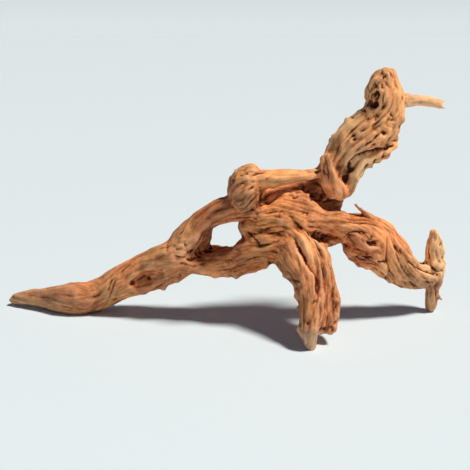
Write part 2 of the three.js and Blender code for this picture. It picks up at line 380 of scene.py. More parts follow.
# Creases and pits of the hub.
groove(1.5, 1.8, (274, 53, 102))
groove(1.7, 1.8, (258, 51, 102), (261, 50, 99), (265, 50, 95), (270, 51, 89))
groove(1.2, 1.1, (269, 51, 100), (274, 52, 99), (280, 53, 98))
groove(1.3, 1.2, (273, 51, 97), (280, 52, 95), (287, 55, 93))
groove(1.3, 1.1, (272, 51, 92), (282, 53, 90), (290, 57, 88))
groove(1.3, 0.8, (236, 54, 92), (243, 51, 95), (249, 50, 97), (258, 50, 96))
groove(1.3, 0.8, (235, 56, 87), (243, 53, 90), (251, 51, 92), (260, 50, 91))
groove(1.2, 0.8, (236, 52, 83), (245, 52, 86), (253, 52, 87), (262, 47, 85))
groove(1.2, 0.7, (236, 56, 107), (245, 60, 107), (254, 55, 108), (264, 53, 106))
groove(1.2, 0.7, (234, 53, 101), (243, 55, 103), (253, 52, 104), (263, 51, 103))
groove(1.2, 1.3, (302, 76, 104), (302, 70, 101))
# The hollow where the front leg and the right leg part, and the lumps beside it.
hollow(2.8, 4.0, (279, 54, 83), (283, 55, 82), (288, 62, 78))
groove(1.8, 3.0, (281, 54, 83), (286, 58, 80))
ridge(3.2, 2.0, (289, 63, 72))
ridge(3.4, 2.0, (296, 63, 76))
knot(6, (263, 62, 117))
crumbly(5, (252, 54, 101))
crumbly(6, (276, 52, 100))
tint(14, AMBER, 0.4, (190, 66, 54))
tint(12, RUST, 0.5, (218, 56, 60))
tint(12, COPPER, 0.6, (238, 52, 68))
tint(12, COPPER, 0.65, (246, 51, 92))
tint(12, COPPER, 0.6, (266, 51, 92))
tint(12, COPPER, 0.5, (254, 55, 108))
tint(10, BRICK, 0.8, (270, 60, 118))
tint(9, CHESTNUT, 0.6, (280, 82, 120))
tint(10, AMBER, 0.8, (282, 53, 96))

# ---------------------------------------------------------------------------------------------
# The front leg. A flat strap of smooth wood winds down it beside a deep red split. It stands on a
# blunt, worn toe, and the strand beside it was broken off short of the floor.

grain((268, 69, 84), (284, 58, 66), (289, 46, 50), (292, 34, 33), (292, 22, 10))
# The smooth strap, and the crease along its left side.
ridge(3.0, 2.2, (258, 50, 92), (262, 49, 87), (268, 44, 82), (273, 40, 75), (278, 35, 67))
groove(2.0, 3.6, (259, 49, 86), (263, 45, 82), (267, 40, 75), (271, 34, 68), (275, 29, 62), (280, 27, 57))
# The deep red split, and the fold to its right.
hollow(3.2, 3.2, (279, 28, 60), (282, 26, 54), (282, 19, 47), (280, 14, 42))
groove(1.3, 2.2, (280, 27, 60), (282, 26, 52), (281, 18, 45))
ridge(2.4, 1.4, (276, 48, 81), (285, 47, 73), (290, 41, 64), (292, 36, 57))
# Creases and pits down the leg and the strand.
groove(1.4, 1.8, (259, 41, 49), (262, 31, 51), (266, 24, 52))
ridge(1.8, 1.2, (266, 24, 49))
groove(1.6, 1.6, (276, 11, 39), (280, 13, 41))
groove(1.6, 1.8, (270, 4, 25), (272, 4, 23))
groove(1.5, 1.6, (293, 50, 66), (294, 44, 61), (295, 41, 55), (295, 34, 49))
groove(1.3, 0.5, (264, 36, 69), (268, 29, 62), (272, 23, 54), (274, 15, 44), (274, 8, 34))
groove(1.2, 0.5, (258, 39, 61), (264, 29, 56), (269, 19, 47), (269, 13, 36), (269, 7, 27))
groove(1.3, 0.7, (287, 39, 64), (289, 33, 55), (289, 26, 44), (287, 15, 35), (288, 17, 23))
groove(1.4, 1.1, (293, 29, 47), (295, 24, 38), (294, 19, 28), (294, 16, 18))
groove(1.2, 1.0, (276, 8, 34), (277, 3, 25), (276, 1, 15), (275, 3, 7))
groove(1.3, 1.2, (282, 12, 38), (283, 8, 29), (281, 4, 20))
# The notch between the toe and the strand's broken end.
hollow(2.4, 3.0, (284, 13, 13), (287, 15, 14), (289, 16, 15))
ridge(1.3, 1.2, (287, 14, 17))
# Lumps and notches down the leg's left side, then down the strand's right side.
ridge(3.0, 3.2, (256, 47, 50))
ridge(2.6, 2.2, (262, 35, 50))
groove(1.6, 1.8, (262, 30, 44), (266, 26, 45))
groove(1.5, 1.5, (260, 44, 47), (262, 36, 43))
ridge(2.8, 2.4, (264, 28, 39))
ridge(2.6, 2.2, (266, 20, 31))
groove(1.5, 1.5, (266, 15, 27), (266, 11, 24))
ridge(2.5, 2.0, (265, 9, 18))
ridge(2.8, 2.4, (297, 25, 36))
groove(1.5, 1.6, (297, 22, 31), (295, 19, 29))
ridge(2.5, 2.4, (297, 20, 24))
groove(1.4, 1.4, (296, 18, 20), (294, 17, 19))
ridge(2.5, 2.4, (296, 17, 14))
knot(6, (256, 41, 65))
knot(4, (275, 12, 40))
tint(12, AMBER, 0.5, (258, 45, 72))
tint(8, PEACH, 0.3, (270, 42, 78))
tint(9, CLAY, 0.6, (254, 45, 58))
tint(12, CHESTNUT, 0.55, (274, 20, 52))
tint(10, RUSSET, 0.8, (289, 30, 50))
tint(6, EMBER, 0.8, (281, 24, 52))
tint(11, RUSSET, 0.6, (276, 8, 32))
tint(9, ASH, 0.5, (274, 6, 8))
tint(9, CHESTNUT, 0.8, (291, 18, 20))
tint(9, TAN, 0.8, (284, 48, 74))

# ---------------------------------------------------------------------------------------------
# The right leg and its foot. The leg swells into a sagging, swirled mass of folds, runs down under
# a split lip of wood, and stands on a thin upright twig that is worn round at its top.

grain((394, 97, 75), (395, 96, 52), (395, 95, 30), (394, 95, 1))
# Two long splinters that stand off the top of the leg.
sliver(3.6, (332, 77, 93), (326, 77, 98), (321, 77, 101), (317, 77, 106))
sliver(3.2, (336, 77, 91), (330, 77, 96), (325, 77, 99), (322, 77, 103))
# Grooves and a ridge along its top.
groove(1.3, 1.0, (304, 61, 96), (314, 66, 95), (323, 71, 95), (330, 71, 93))
groove(1.4, 1.6, (307, 61, 93), (316, 64, 92), (325, 68, 92), (336, 70, 88))
groove(1.5, 1.6, (306, 58, 86), (315, 59, 85), (323, 61, 85), (331, 62, 81), (336, 63, 77))
ridge(3.0, 1.0, (301, 58, 90), (311, 60, 90), (322, 64, 89), (331, 66, 87), (342, 67, 81))
# Folds that swirl round a knot, with a pit in its middle.
groove(1.3, 1.5, (309, 64, 77), (311, 59, 81), (316, 59, 82), (320, 59, 78))
groove(1.3, 1.5, (307, 62, 80), (311, 58, 84), (318, 60, 85), (323, 60, 81), (327, 60, 78))
groove(1.3, 1.5, (322, 60, 83), (326, 61, 81), (329, 61, 77), (330, 62, 82))
groove(1.6, 1.8, (331, 62, 79))
hollow(2.6, 2.2, (325, 60, 75), (331, 60, 74), (336, 62, 74))
ridge(2.2, 1.2, (314, 64, 73), (321, 62, 70), (329, 61, 69), (338, 63, 71))
# Creases and a hollow across the sagging folds.
groove(1.7, 2.4, (315, 68, 67), (321, 64, 67), (329, 61, 66))
groove(1.6, 2.0, (318, 69, 61), (325, 66, 60), (334, 63, 60))
groove(1.6, 2.0, (323, 70, 55), (330, 69, 53), (336, 67, 52))
hollow(4.0, 2.0, (318, 68, 64), (326, 66, 62), (333, 64, 59))
groove(1.5, 2.4, (336, 65, 57), (340, 65, 56), (345, 65, 57))
# Lumps and notches along the sagging lower edge.
ridge(3.2, 1.8, (313, 69, 66))
ridge(2.6, 1.5, (314, 73, 60))
groove(1.6, 1.6, (317, 75, 55), (321, 72, 55))
ridge(2.6, 1.6, (323, 76, 50))
ridge(2.6, 1.4, (329, 76, 48))
groove(1.6, 1.5, (332, 76, 46), (335, 73, 47))
ridge(2.4, 1.5, (342, 76, 40))
groove(1.6, 1.4, (346, 77, 38), (348, 74, 40))
ridge(2.4, 1.2, (351, 77, 35))
ridge(3.6, 2.2, (342, 67, 51), (344, 67, 47))
ridge(3.0, 1.4, (338, 71, 46))
# Long grooves down the leg's outer slope.
groove(1.3, 1.2, (344, 67, 79), (345, 65, 69), (344, 65, 60), (348, 68, 48), (355, 73, 37))
groove(1.3, 1.1, (349, 68, 75), (353, 67, 65), (357, 68, 54), (364, 71, 43))
groove(1.3, 1.0, (355, 69, 70), (361, 70, 61), (367, 71, 51))
# The split lip of wood, and the dark gap under it.
ridge(2.0, 1.8, (364, 72, 60), (374, 78, 53), (385, 85, 47), (394, 86, 45))
groove(1.5, 3.0, (364, 71, 56), (371, 73, 51), (377, 77, 46), (388, 82, 42), (397, 84, 39))
# Creases beside and below the lip.
groove(1.6, 1.8, (368, 74, 36), (372, 78, 30), (375, 82, 26))
groove(2.0, 1.6, (396, 84, 38))
groove(1.3, 1.1, (359, 68, 55), (365, 71, 46), (372, 74, 37))
groove(1.3, 1.0, (369, 71, 47), (377, 74, 41), (385, 78, 36))
# The foot: its grooves and ridges, the lumps on its right side, and a thorn.
ridge(2.6, 2.0, (391, 92, 70), (390, 91, 61), (390, 89, 53))
groove(1.8, 2.2, (388, 95, 75), (388, 94, 64), (388, 93, 56), (390, 89, 49))
groove(1.5, 1.2, (392, 93, 74), (393, 91, 70), (391, 92, 66))
groove(1.5, 1.3, (394, 90, 66), (393, 89, 58), (395, 88, 52), (398, 88, 48))
ridge(2.5, 2.4, (400, 92, 69))
groove(1.8, 2.6, (397, 90, 64), (400, 91, 66))
ridge(2.6, 2.4, (401, 91, 58))
ridge(2.5, 2.4, (402, 91, 48))
groove(1.4, 1.3, (399, 89, 53), (402, 91, 53))
ridge(2.4, 1.3, (387, 94, 48), (392, 87, 48), (398, 87, 45))
groove(1.8, 2.0, (389, 89, 43), (396, 87, 41), (401, 91, 41))
groove(1.6, 1.4, (394, 86, 30), (395, 87, 24), (396, 88, 17))
groove(1.4, 1.2, (389, 91, 22), (390, 91, 12), (391, 90, 5))
ridge(2.3, 1.0, (392, 88, 27), (393, 89, 15), (393, 90, 6))
sliver(2.0, (398, 91, 18), (401, 91, 14), (403, 91, 12))
knot(7, (330, 61, 79))
knot(5, (343, 66, 56))
crumbly(6, (326, 68, 60))
tint(14, RUSSET, 0.5, (314, 64, 97))
tint(12, COPPER, 0.3, (314, 60, 90))
tint(11, RUST, 0.9, (316, 60, 80))
tint(10, RUST, 1.0, (325, 67, 62))
tint(14, AMBER, 0.5, (348, 66, 72))
tint(9, HONEY, 0.9, (342, 67, 50))
tint(14, TAN, 0.6, (362, 70, 52))
tint(12, CLAY, 0.7, (376, 75, 40))
tint(10, STRAW, 0.5, (386, 86, 50))
tint(14, CREAM, 0.7, (392, 91, 68))
tint(12, CLAY, 0.7, (393, 92, 16))

# ---------------------------------------------------------------------------------------------
# The upper limb. It rises from the neck, twisted like wrung cloth: a strap winds up its left, a
# flap of wood laps over its right, and its heart between them is crumbly and pitted.

grain((304, 66, 114), (298, 68, 122), (294, 73, 140), (302, 80, 156))
grain((308, 74, 112), (313, 75, 128), (322, 76, 141), (340, 81, 152), (348, 83, 166), (346, 84, 182))
# The long groove between the strap and the flap, and the flap's rolled edge.
groove(2.0, 4.5, (306, 67, 126), (308, 67, 131), (311, 66, 137), (311, 64, 144), (315, 64, 148),
       (320, 66, 150), (325, 67, 152), (331, 69, 154), (339, 73, 154))
ridge(3.0, 1.8, (311, 66, 123), (314, 67, 129), (316, 66, 135), (319, 67, 141), (325, 68, 145),
      (331, 69, 148), (340, 72, 149))
# The strap that winds up the left side, and the oval hollow beside it.
ridge(2.6, 1.8, (293, 72, 151), (293, 65, 144), (294, 62, 138), (298, 60, 131), (303, 62, 125),
      (307, 65, 119))
groove(1.4, 1.5, (289, 76, 149), (289, 69, 145), (291, 64, 137), (292, 60, 130))
ridge(3.2, 3.6, (310, 69, 137), (309, 69, 134), (310, 68, 130))
hollow(3.6, 2.0, (303, 63, 142), (302, 64, 136))
groove(1.6, 1.4, (302, 63, 134), (301, 62, 130))
# Pits in the limb's heart.
groove(1.6, 1.6, (312, 67, 167), (313, 64, 161))
groove(1.5, 1.6, (317, 67, 170), (322, 66, 171))
groove(1.5, 2.0, (325, 65, 155), (329, 65, 158), (334, 66, 162))
groove(1.2, 1.5, (342, 68, 184), (344, 68, 181))
groove(1.1, 1.3, (330, 69, 184), (332, 68, 181))
# Lumps and notches up the left edge.
ridge(2.6, 2.2, (308, 82, 178))
groove(1.5, 1.4, (312, 84, 180), (313, 78, 179))
ridge(2.6, 2.0, (318, 80, 184))
groove(1.5, 1.4, (322, 80, 186), (323, 75, 184))
ridge(2.4, 2.0, (326, 78, 188))
ridge(2.4, 1.8, (297, 84, 164))
# Single pits, the crease above the flap, and the fold where the crossbar's fibres turn upwards.
groove(1.5, 2.0, (337, 66, 168))
groove(1.8, 3.0, (339, 72, 152), (343, 73, 155), (348, 75, 157))
groove(1.3, 1.2, (295, 58, 121))
ridge(1.6, 1.2, (278, 74, 136), (284, 78, 138), (288, 75, 148))
# The torn teeth of the flap's lower edge, and the notches between them.
for height, at in ((2.4, (316, 68, 128)), (2.6, (322, 70, 132)), (2.8, (329, 72, 139)),
                   (2.6, (336, 74, 142)), (2.4, (343, 76, 146))):
    ridge(2.5, height, at)
groove(1.8, 2.0, (324, 71, 138), (324, 69, 143))
groove(1.6, 1.6, (331, 73, 142), (331, 71, 147))
groove(1.6, 1.8, (338, 75, 146), (338, 73, 151))
# Lumps and notches up the right edge.
ridge(2.4, 1.6, (350, 78, 155))
groove(1.7, 1.8, (350, 79, 160), (346, 76, 160))
ridge(2.4, 1.4, (352, 77, 168))
groove(1.6, 1.6, (354, 77, 173), (350, 74, 172))
ridge(2.4, 1.4, (355, 77, 178))
# Long creases along the fibres.
groove(1.2, 1.0, (282, 73, 134), (287, 70, 136), (290, 62, 133), (292, 60, 125))
groove(1.2, 0.7, (303, 63, 147), (306, 63, 154), (311, 64, 159))
groove(1.2, 0.6, (305, 65, 157), (313, 69, 170), (321, 70, 177))
groove(1.4, 1.2, (321, 63, 157), (329, 65, 163), (337, 66, 170))
groove(1.2, 0.8, (328, 68, 176), (333, 68, 182), (336, 69, 188))
# The oval hollow high on the strap, its rim, and the deep slit on the right.
hollow(2.6, 2.4, (299, 71, 159), (299, 69, 153))
ridge(2.3, 1.0, (303, 68, 160), (303, 66, 154))
groove(2.1, 3.0, (340, 67, 160), (345, 70, 164))
# Short strands of harder wood, left standing in the heart.
ridge(2.0, 1.4, (327, 64, 166), (332, 65, 170))
ridge(1.8, 1.3, (335, 69, 157), (341, 68, 164))
ridge(2.0, 1.3, (332, 67, 175), (337, 67, 180))
ridge(1.8, 1.4, (340, 66, 171), (345, 68, 175))
ridge(1.8, 1.2, (324, 67, 174), (327, 69, 179))
ridge(1.8, 1.3, (338, 67, 162), (344, 68, 169))
ridge(1.8, 1.2, (329, 65, 161), (334, 65, 166))
knot(5, (302, 64, 138))
crumbly(9, (336, 67, 165))
crumbly(7, (342, 67, 178))
crumbly(6, (322, 68, 160))
crumbly(6, (310, 66, 166))
crumbly(6, (326, 70, 180))
tint(11, AMBER, 0.5, (294, 60, 120))
tint(12, HONEY, 0.35, (290, 66, 144))
tint(7, UMBER, 0.4, (302, 64, 138))
tint(5, UMBER, 0.5, (309, 68, 134))
tint(12, TAN, 0.35, (312, 66, 162))
tint(10, STRAW, 0.35, (318, 68, 140))
tint(12, STRAW, 0.3, (304, 76, 168))
tint(5, RUSSET, 0.4, (299, 72, 157))
tint(6, RUSSET, 0.5, (306, 69, 165))
tint(6, CHESTNUT, 0.6, (320, 64, 158))
tint(5, CHESTNUT, 0.6, (333, 67, 173))
tint(14, HONEY, 0.6, (336, 67, 165))
tint(12, HONEY, 0.45, (338, 68, 178))

# ---------------------------------------------------------------------------------------------
# The crown and the side twig. The top of the limb is a hollow, channelled crown, and one short twig
# grows from it, snapped across at its end.

grain((338, 84, 193), (358, 87, 193), (392, 93, 190))
# The floor of the hollow crown, and the channels that run down it.
ridge(3.2, 4.6, (331, 76, 197), (331, 76, 191))
groove(1.6, 1.8, (329, 76, 207), (331, 72, 204))
groove(1.6, 2.0, (330, 74, 203), (332, 75, 198))
groove(1.6, 2.4, (332, 76, 194), (331, 75, 189))
groove(1.5, 2.0, (334, 72, 209), (335, 70, 203))
groove(1.5, 2.2, (336, 69, 200), (335, 68, 191))
ridge(1.8, 1.4, (327, 78, 210), (332, 75, 211))
ridge(1.8, 1.4, (338, 70, 205), (338, 69, 195))
groove(1.5, 2.0, (331, 76, 192), (334, 70, 189))
groove(1.4, 1.8, (325, 82, 205), (326, 77, 200))
hollow(2.6, 2.2, (324, 80, 195), (327, 75, 189))
# Pits and short creases round the crown.
groove(1.1, 1.0, (326, 72, 187), (328, 70, 185))
groove(1.3, 1.8, (342, 78, 219), (343, 75, 216), (345, 74, 212))
groove(1.2, 1.5, (333, 78, 217), (336, 76, 216))
groove(1.3, 1.5, (337, 72, 210), (340, 70, 205))
groove(1.3, 1.6, (326, 77, 205), (327, 76, 200))
groove(1.3, 1.6, (327, 76, 197), (326, 77, 192))
hollow(2.3, 1.6, (323, 82, 196), (325, 79, 191))
groove(1.4, 1.6, (325, 80, 189), (329, 75, 188))
groove(1.2, 1.2, (337, 72, 214), (341, 73, 211))
# The crease where the side twig leaves the limb, and the fold beside it.
groove(1.3, 1.2, (352, 75, 199), (353, 75, 195), (354, 75, 192))
ridge(2.4, 1.0, (342, 72, 207), (345, 71, 199), (345, 71, 190))
# The side twig's fine checks, the splinters at its snapped end, and the pit between them.
groove(0.9, 0.5, (360, 81, 195), (374, 86, 194), (384, 88, 192))
groove(0.9, 0.5, (361, 82, 191), (374, 86, 191), (385, 89, 189))
sliver(2.2, (382, 91, 191), (388, 91, 192), (393, 92, 192))
sliver(2.2, (382, 91, 189), (388, 91, 187), (394, 92, 186))
groove(1.6, 2.0, (392, 92, 190))
# The crown's left edge.
groove(1.6, 1.8, (329, 81, 213), (327, 84, 209), (325, 84, 204))
ridge(2.4, 1.2, (324, 84, 199), (324, 82, 193))
# Wrinkles round the side twig's base.
groove(1.3, 0.9, (357, 79, 198), (357, 78, 193), (358, 79, 188))
groove(1.2, 0.8, (361, 80, 197), (360, 79, 192))
crumbly(8, (328, 75, 201))
crumbly(7, (337, 73, 211))
tint(8, TAN, 0.7, (325, 78, 200))
tint(9, HONEY, 0.6, (331, 72, 198))
tint(10, HONEY, 0.3, (345, 73, 200))
tint(8, TAN, 0.7, (340, 76, 214))
tint(16, CREAM, 0.25, (372, 86, 193))

# ---------------------------------------------------------------------------------------------
# The skin of the whole root. It grew as one piece, so the limbs, softened where they meet, and the
# splinters fuse into one closed surface of small, even squares.

# The first skin takes the marks at least as wide as BROAD_WIDTH, and the second takes the finer ones.
FIRST_VOXEL = 1.5 * MM
SECOND_VOXEL = 1.14 * MM
SOFTEN_ROUNDS = 7
BROAD_WIDTH = 2.3
WELD = 0.001 * MM
SPLINTER_STEP = 1.5 * MM
SPLINTER_SIDES = 6
NOISE_SIDE = 48
UNEVENNESS = 0.35
HIDDEN_MARKS = 150
HIDDEN_SIZES = (1.2, 3.4)
HIDDEN_SEED = 31


def place(points):
    """Millimetres from the low corner of the root's box, as metres in the scene."""
    return np.asarray(points, float) * MM + cad_low


def along_line(line, step):
    """Points about every step along a line of straight stretches, and the unit direction at each."""
    corners = place(line)
    stretches = np.diff(corners, axis=0)
    lengths = np.linalg.norm(stretches, axis=1)
    ends = np.concatenate(([0], np.cumsum(lengths)))
    at = np.linspace(0, ends[-1], max(2, round(ends[-1] / step) + 1))
    which = np.clip(np.searchsorted(ends, at, side="right") - 1, 0, len(lengths) - 1)
    directions = stretches / lengths[:, None]
    return corners[which] + directions[which] * (at - ends[which])[:, None], directions[which]


class Skin:
    """A closed surface as arrays: points, faces, edges, and what is worked out from them."""

    def __init__(self, mesh):
        count = len(mesh.vertices)
        self.points = np.empty(count * 3, np.float32)
        mesh.vertices.foreach_get("co", self.points)
        self.points = self.points.reshape(-1, 3).astype(float)
        self.edges = np.empty(len(mesh.edges) * 2, np.int32)
        mesh.edges.foreach_get("vertices", self.edges)
        self.edges = self.edges.reshape(-1, 2)
        sizes = np.empty(len(mesh.polygons), np.int32)
        mesh.polygons.foreach_get("loop_total", sizes)
        loops = np.empty(len(mesh.loops), np.int32)
        mesh.loops.foreach_get("vertex_index", loops)
        starts = np.concatenate(([0], np.cumsum(sizes)[:-1]))
        quads = starts[sizes == 4]
        triangles = starts[sizes == 3]
        self.quads = loops[quads[:, None] + np.arange(4)]
        self.triangles = loops[triangles[:, None] + np.arange(3)]
        self.degree = np.bincount(self.edges.ravel(), minlength=count)[:, None].astype(float)

    def around(self, values):
        """The mean of each point's neighbours' values."""
        total = np.zeros_like(values)
        for column in range(values.shape[1]):
            for near, far in ((0, 1), (1, 0)):
                total[:, column] += np.bincount(self.edges[:, near], values[self.edges[:, far], column],
                                                len(values))
        return total / np.maximum(self.degree, 1)

    def softened(self, values, rounds):
        """Values evened out over the surface: each round moves them half way to their neighbours' mean."""
        for _ in range(rounds):
            values = 0.5 * (values + self.around(values))
        return values

    def normals(self):
        """Outward unit normals: the sum of the crossed diagonals or sides of the faces at each point."""
        total = np.zeros_like(self.points)
        for faces in (self.quads, self.triangles):
            if len(faces) == 0:
                continue
            last = faces[:, -1]
            one = self.points[faces[:, 2]] - self.points[faces[:, 0]]
            two = self.points[last] - self.points[faces[:, 1]]
            area = np.cross(one, two)
            for corner in range(faces.shape[1]):
                for axis in range(3):
                    total[:, axis] += np.bincount(faces[:, corner], area[:, axis], len(total))
        return total / np.maximum(np.linalg.norm(total, axis=1, keepdims=True), 1e-12)

    def relax(self, rounds):
        """Rounds off creases without shrinking: each round pulls the points in, then pushes them back."""
        for _ in range(rounds):
            self.points += 0.5 * (self.around(self.points) - self.points)
            self.points -= 0.52 * (self.around(self.points) - self.points)

    def faces(self):
        """All faces as one list."""
        return self.quads.tolist() + self.triangles.tolist()


def fused(points, faces, voxel):
    """Joins overlapping closed shells into one skin of small, even squares."""
    mesh = bpy.data.meshes.new("fusing")
    mesh.from_pydata(points, [], faces)
    shell = bpy.data.objects.new("fusing", mesh)
    bpy.context.scene.collection.objects.link(shell)
    remesh = shell.modifiers.new("fuse", "REMESH")
    remesh.mode = "VOXEL"
    remesh.voxel_size = voxel
    skin = Skin(shell.evaluated_get(bpy.context.evaluated_depsgraph_get()).to_mesh())
    bpy.data.objects.remove(shell)
    bpy.data.meshes.remove(mesh)
    return skin


def merged_solid(node):
    """The CAD node's points and triangles, with its loose triangles joined at their corners."""
    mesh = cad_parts[node].data
    corners = np.array([vertex.co for vertex in mesh.vertices], float)
    triangles = np.array([polygon.vertices for polygon in mesh.polygons])
    keys, index = np.unique(np.round(corners / WELD).astype(np.int64), axis=0, return_inverse=True)
    points = np.zeros((len(keys), 3))
    points[index.ravel()] = corners
    triangles = index.ravel()[triangles]
    sides = np.stack([triangles, np.roll(triangles, 1, axis=1)])
    return points, triangles[(sides[0] != sides[1]).all(axis=1)]


def splinter(radius, line):
    """Circles carried along the line, full at its start and half as wide at its end, with closed ends."""
    sides = SPLINTER_SIDES
    middles, directions = along_line(line, SPLINTER_STEP)
    # The fixed vector is one that no splinter runs along.
    across = np.cross(directions, (0.3, 1.0, 0.2))
    across /= np.linalg.norm(across, axis=1, keepdims=True)
    up = np.cross(across, directions)
    turns = 2 * np.pi * np.arange(sides) / sides
    widths = radius * MM * np.linspace(1, 0.5, len(middles))
    rings = (middles[:, None] + widths[:, None, None] * (np.cos(turns)[:, None] * across[:, None]
                                                        + np.sin(turns)[:, None] * up[:, None]))
    points = np.concatenate([rings.reshape(-1, 3), middles[:1], middles[-1:]])
    side = np.arange(sides)
    after = (side + 1) % sides
    rows = np.arange(len(middles) - 1)[:, None] * sides
    walls = np.stack([rows + side, rows + side + sides, rows + after + sides, rows + after], -1)
    last = (len(middles) - 1) * sides
    start_cap = np.stack([side, after, np.full(sides, len(points) - 2)], -1)
    end_cap = np.stack([last + after, last + side, np.full(sides, len(points) - 1)], -1)
    return points.tolist(), walls.reshape(-1, 4).tolist() + start_cap.tolist() + end_cap.tolist()


def soft_noise(points, cell, seed):
    """Smooth random lumps of one size: random values on a repeating grid, eased between grid points."""
    values = np.random.default_rng(seed).uniform(-1, 1, (NOISE_SIDE,) * 3)
    position = points / cell
    base = np.floor(position).astype(int)
    share = position - base
    share = share * share * (3 - 2 * share)
    total = np.zeros(len(points))
    for corner in np.ndindex(2, 2, 2):
        weight = np.prod(np.where(corner, share, 1 - share), axis=1)
        x, y, z = ((base + corner) % NOISE_SIDE).T
        total += weight * values[x, y, z]
    return total


def felt(points, width, sharpness, places):
    """How strongly each point feels a mark: e to the minus (distance / width) to the power of its
    sharpness, fading towards the mark's ends. The mark is first laid on the nearest of the points,
    and points past the margin feel nothing."""
    reach = np.zeros(len(points))
    samples = along_line(places, MM)[0] if len(places) > 1 else place(places)
    margin = (3 * width + 7) * MM
    inside = (points > samples.min(axis=0) - margin) & (points < samples.max(axis=0) + margin)
    near = np.flatnonzero(inside.all(axis=1))
    candidates = points[near]
    distances = np.linalg.norm(candidates[:, None] - samples, axis=2)
    laid = candidates[distances.argmin(axis=0)]
    if len(laid) > 2:
        laid[1:-1] = 0.25 * laid[:-2] + 0.5 * laid[1:-1] + 0.25 * laid[2:]
    distances = np.linalg.norm(candidates[:, None] - laid, axis=2)
    share = (distances.argmin(axis=1) + 0.5) / len(laid)
    fade = np.sin(np.pi * share) ** 0.6 if len(laid) > 2 else 1.0
    reach[near] = fade * np.exp(-(distances.min(axis=1) / (width * MM)) ** sharpness)
    return reach


def marked(points, broad):
    """The height in mm that the broad or the fine marks give each point, a little uneven from place to
    place, and the painted shade of them all: the sum over the marks of their share times what is felt."""
    heights = np.zeros(len(points))
    painted_shade_total = np.zeros(len(points))
    unevenness = 1 + UNEVENNESS * soft_noise(points, 5 * MM, 11)
    for width, height, sharpness, shade, places in marks:
        reach = felt(points, width, sharpness, places)
        if (width >= BROAD_WIDTH) == broad:
            heights += height * unevenness * reach
        painted_shade_total += shade * min(1.0, abs(height) / 2) * reach
    return heights, painted_shade_total


def weather_hidden_side(points, normals):
    """Adds pits and small swells as marks, each with some painted shade, at random points that face
    backwards or down.
    """
    random = np.random.default_rng(HIDDEN_SEED)
    hidden = np.flatnonzero((normals[:, 1] > 0.35) | (normals[:, 2] < -0.6))
    for at in (points[random.choice(hidden, HIDDEN_MARKS)] - cad_low) / MM:
        size = random.uniform(*HIDDEN_SIZES)
        marks.append((size, random.choice((-0.9, -0.6, 0.6)) * size, 1.6, 0.6, (tuple(at),)))


solid_points, solid_faces = merged_solid("dry_root")
skin = fused(solid_points.tolist(), solid_faces.tolist(), FIRST_VOXEL)
skin.relax(SOFTEN_ROUNDS)
normals = skin.softened(skin.normals(), 4)
weather_hidden_side(skin.points, normals)
heights, _ = marked(skin.points, broad=True)
skin.points += heights[:, None] * MM * normals
shell_points = skin.points.tolist()
shell_faces = skin.faces()
for radius, line in slivers:
    points, faces = splinter(radius, line)
    start = len(shell_points)
    shell_points += points
    shell_faces += [[start + corner for corner in face] for face in faces]
skin = fused(shell_points, shell_faces, SECOND_VOXEL)
skin.relax(1)

# ---------------------------------------------------------------------------------------------
# The fibres. They run along each limb, flow round the joints, swirl round the knots and follow the
# splits, as they grew. Weather has worn the soft wood out between them.

# How far each grain line and mark reaches, and how strongly each thing turns the fibres.
GRAIN_SPREAD = 9.0 * MM
MARK_SPREAD = 4.0 * MM
MARK_PULL = 1.3
SPIRAL = 0.28
LIMB_RADIUS = 15 * MM
WANDER = 0.34
WANDER_SIZE = 13 * MM
SWIRL = 2.2
SWIRL_AXIS = (0.25, -1.0, 0.25)
LEAST_WEIGHT = 0.7

GRAIN_STEP = 4.0 * MM
MARK_STEP = 2.5 * MM
GRAIN_CELL = 3.0 * MM
FIBRE_STEP = 0.9 * MM
CELLS_AT_ONCE = 10000

# Each layer of fibres is its lump size and its reach along the fibre, in millimetres, and its seed.
FIBRE_LAYERS = [(5.0, 7, 1), (2.8, 12, 2), (1.7, 12, 3), (1.15, 6, 4)]

# The heights in millimetres of what stands out of the wood or is worn into it.
LUMP_HEIGHT = 0.8
FOLD_HEIGHT = 0.48
STRAND_HEIGHT = 0.24
FIBRE_HEIGHT = 0.22
HAIR_HEIGHT = 0.20
CRUMB_HEIGHT = 0.70
PIT_DEPTH = 1.3
CRACK_DEPTH = 1.3


